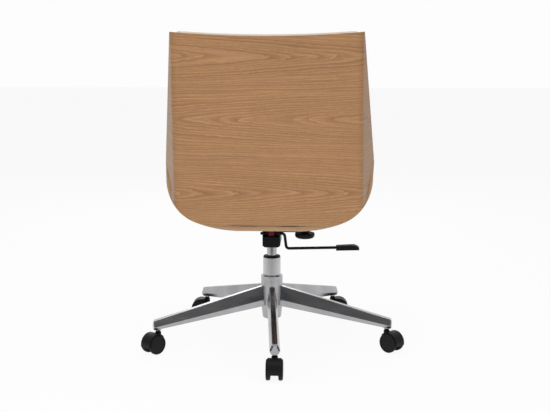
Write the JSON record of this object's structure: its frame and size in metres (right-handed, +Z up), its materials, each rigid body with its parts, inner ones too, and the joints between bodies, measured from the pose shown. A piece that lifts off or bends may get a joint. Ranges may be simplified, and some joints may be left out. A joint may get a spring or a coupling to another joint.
{
  "type": "rolling chair",
  "caption": "Low-backed swivel chair: bent oak plywood seat and back shells with cushions, tilt and gas lift, on a polished star base with twin-wheel casters.",
  "frame": {"origin": "on the floor, under the column's axis", "axes": "+Z up along the column, -Y the way the sitter faces, -X to the sitter's right"},
  "size_m": [0.7302, 0.6901, 0.8822],
  "materials": {
    "oak_veneer": "clear satin lacquer, horizontal grain",
    "cream_leather": "soft matt upholstery",
    "polished_aluminium": "polished",
    "chromed_steel": "chromed",
    "grey_steel": "satin nickel plate",
    "black_plastic": "moulded, fine texture",
    "black_steel": "black powder coat",
    "red_plastic": "moulded",
    "pale_plastic": "moulded",
    "black_rubber": "moulded",
    "zinc_steel": "zinc plated"
  },
  "bodies": {
    "base": {"star_base": "polished_aluminium", "column_tube": "grey_steel", "guide_bush": "pale_plastic", "tube_collar": "black_plastic", "thrust_race_lower": "zinc_steel", "thrust_balls": "zinc_steel"},
    "lift_core": {"piston_rod": "chromed_steel", "piston": "pale_plastic", "thrust_race_upper": "zinc_steel", "rod_clip": "zinc_steel", "bump_stop": "black_rubber"},
    "lift": {"gas_cylinder": "chromed_steel", "rod_gland": "pale_plastic", "mechanism_housing": "black_steel", "tilt_pin": "zinc_steel", "pin_clips": "zinc_steel", "lever_pin": "black_steel", "spring_nut": "zinc_steel", "tension_spring": "zinc_steel"},
    "valve": {"valve_pin": "chromed_steel"},
    "lever": {"height_lever": "black_steel", "lever_grip": "black_plastic", "release_rocker": "red_plastic"},
    "knob": {"tension_knob": "black_plastic", "tension_screw": "zinc_steel"},
    "seat": {"seat_plate": "zinc_steel", "pivot_bushes": "pale_plastic", "seat_bolts": "zinc_steel", "tee_nuts": "zinc_steel", "seat_shell": "oak_veneer", "back_shell": "oak_veneer", "back_brackets": "black_steel", "bracket_screws": "black_steel", "seat_cushion": "cream_leather", "back_cushion": "cream_leather"},
    "caster_1": {"caster_hood_1": "black_plastic", "caster_stem_1": "black_steel", "caster_axle_1": "zinc_steel"},
    "wheel_1_left": {"wheel_1_left": "black_plastic"},
    "wheel_1_right": {"wheel_1_right": "black_plastic"},
    "caster_2": {"caster_hood_2": "black_plastic", "caster_stem_2": "black_steel", "caster_axle_2": "zinc_steel"},
    "wheel_2_left": {"wheel_2_left": "black_plastic"},
    "wheel_2_right": {"wheel_2_right": "black_plastic"},
    "caster_3": {"caster_hood_3": "black_plastic", "caster_stem_3": "black_steel", "caster_axle_3": "zinc_steel"},
    "wheel_3_left": {"wheel_3_left": "black_plastic"},
    "wheel_3_right": {"wheel_3_right": "black_plastic"},
    "caster_4": {"caster_hood_4": "black_plastic", "caster_stem_4": "black_steel", "caster_axle_4": "zinc_steel"},
    "wheel_4_left": {"wheel_4_left": "black_plastic"},
    "wheel_4_right": {"wheel_4_right": "black_plastic"},
    "caster_5": {"caster_hood_5": "black_plastic", "caster_stem_5": "black_steel", "caster_axle_5": "zinc_steel"},
    "wheel_5_left": {"wheel_5_left": "black_plastic"},
    "wheel_5_right": {"wheel_5_right": "black_plastic"}
  },
  "joints": [
    {"name": "seat_swivel", "type": "hinge", "parent": "base", "child": "lift_core", "pos_m": [0, 0, 0.08], "axis": [0, 0, 1], "continuous": true},
    {"name": "gas_lift", "type": "slide", "parent": "lift_core", "child": "lift", "axis": [0, 0, 1], "range_m": [0, 0.095]},
    {"name": "seat_tilt", "type": "hinge", "parent": "lift", "child": "seat", "pos_m": [0, -0.04, 0.338], "axis": [-1, 0, 0], "range_deg": [0, 12], "stiffness_Nm_per_rad": 150, "springref_deg": -17.19, "deforming": ["tension_spring"]},
    {"name": "lever_lift", "type": "hinge", "parent": "lift", "child": "lever", "pos_m": [-0.018, 0.024, 0.32], "axis": [0, 1, 0], "range_deg": [0, 8], "stiffness_Nm_per_rad": 1.5, "springref_deg": -11.46},
    {"name": "valve_press", "type": "slide", "parent": "lift", "child": "valve", "axis": [0, 0, -1], "range_m": [0, 0.0026]},
    {"name": "knob_turn", "type": "hinge", "parent": "lift", "child": "knob", "pos_m": [-0.094, 0, 0.31], "axis": [0, 0, -1], "range_deg": [0, 720]},
    {"name": "caster_swivel_1", "type": "hinge", "parent": "base", "child": "caster_1", "pos_m": [-0.02344, 0.33518, 0.062], "axis": [0, 0, 1], "continuous": true},
    {"name": "wheel_spin_1_left", "type": "hinge", "parent": "caster_1", "child": "wheel_1_left", "pos_m": [-0.02344, 0.35318, 0.0275], "axis": [1, 0, 0], "continuous": true},
    {"name": "wheel_spin_1_right", "type": "hinge", "parent": "caster_1", "child": "wheel_1_right", "pos_m": [-0.02344, 0.35318, 0.0275], "axis": [1, 0, 0], "continuous": true},
    {"name": "caster_swivel_2", "type": "hinge", "parent": "base", "child": "caster_2", "pos_m": [-0.32602, 0.08129, 0.062], "axis": [0, 0, 1], "continuous": true},
    {"name": "wheel_spin_2_left", "type": "hinge", "parent": "caster_2", "child": "wheel_2_left", "pos_m": [-0.3396, 0.09309, 0.0275], "axis": [0.6561, 0.7547, 0], "continuous": true},
    {"name": "wheel_spin_2_right", "type": "hinge", "parent": "caster_2", "child": "wheel_2_right", "pos_m": [-0.3396, 0.09309, 0.0275], "axis": [0.6561, 0.7547, 0], "continuous": true},
    {"name": "caster_swivel_3", "type": "hinge", "parent": "base", "child": "caster_3", "pos_m": [-0.17805, -0.28494, 0.062], "axis": [0, 0, 1], "continuous": true},
    {"name": "wheel_spin_3_left", "type": "hinge", "parent": "caster_3", "child": "wheel_3_left", "pos_m": [-0.19605, -0.28494, 0.0275], "axis": [0, 1, 0], "continuous": true},
    {"name": "wheel_spin_3_right", "type": "hinge", "parent": "caster_3", "child": "wheel_3_right", "pos_m": [-0.19605, -0.28494, 0.0275], "axis": [0, 1, 0], "continuous": true},
    {"name": "caster_swivel_4", "type": "hinge", "parent": "base", "child": "caster_4", "pos_m": [0.21598, -0.25739, 0.062], "axis": [0, 0, 1], "continuous": true},
    {"name": "wheel_spin_4_left", "type": "hinge", "parent": "caster_4", "child": "wheel_4_left", "pos_m": [0.23398, -0.25739, 0.0275], "axis": [0, -1, 0], "continuous": true},
    {"name": "wheel_spin_4_right", "type": "hinge", "parent": "caster_4", "child": "wheel_4_right", "pos_m": [0.23398, -0.25739, 0.0275], "axis": [0, -1, 0], "continuous": true},
    {"name": "caster_swivel_5", "type": "hinge", "parent": "base", "child": "caster_5", "pos_m": [0.31153, 0.12587, 0.062], "axis": [0, 0, 1], "continuous": true},
    {"name": "wheel_spin_5_left", "type": "hinge", "parent": "caster_5", "child": "wheel_5_left", "pos_m": [0.3231, 0.13966, 0.0275], "axis": [0.766, -0.6428, 0], "continuous": true},
    {"name": "wheel_spin_5_right", "type": "hinge", "parent": "caster_5", "child": "wheel_5_right", "pos_m": [0.3231, 0.13966, 0.0275], "axis": [0.766, -0.6428, 0], "continuous": true}
  ],
  "couplings": [
    {"joint": "valve_press", "follows": "lever_lift", "m_per_rad": 0.018}
  ]
}
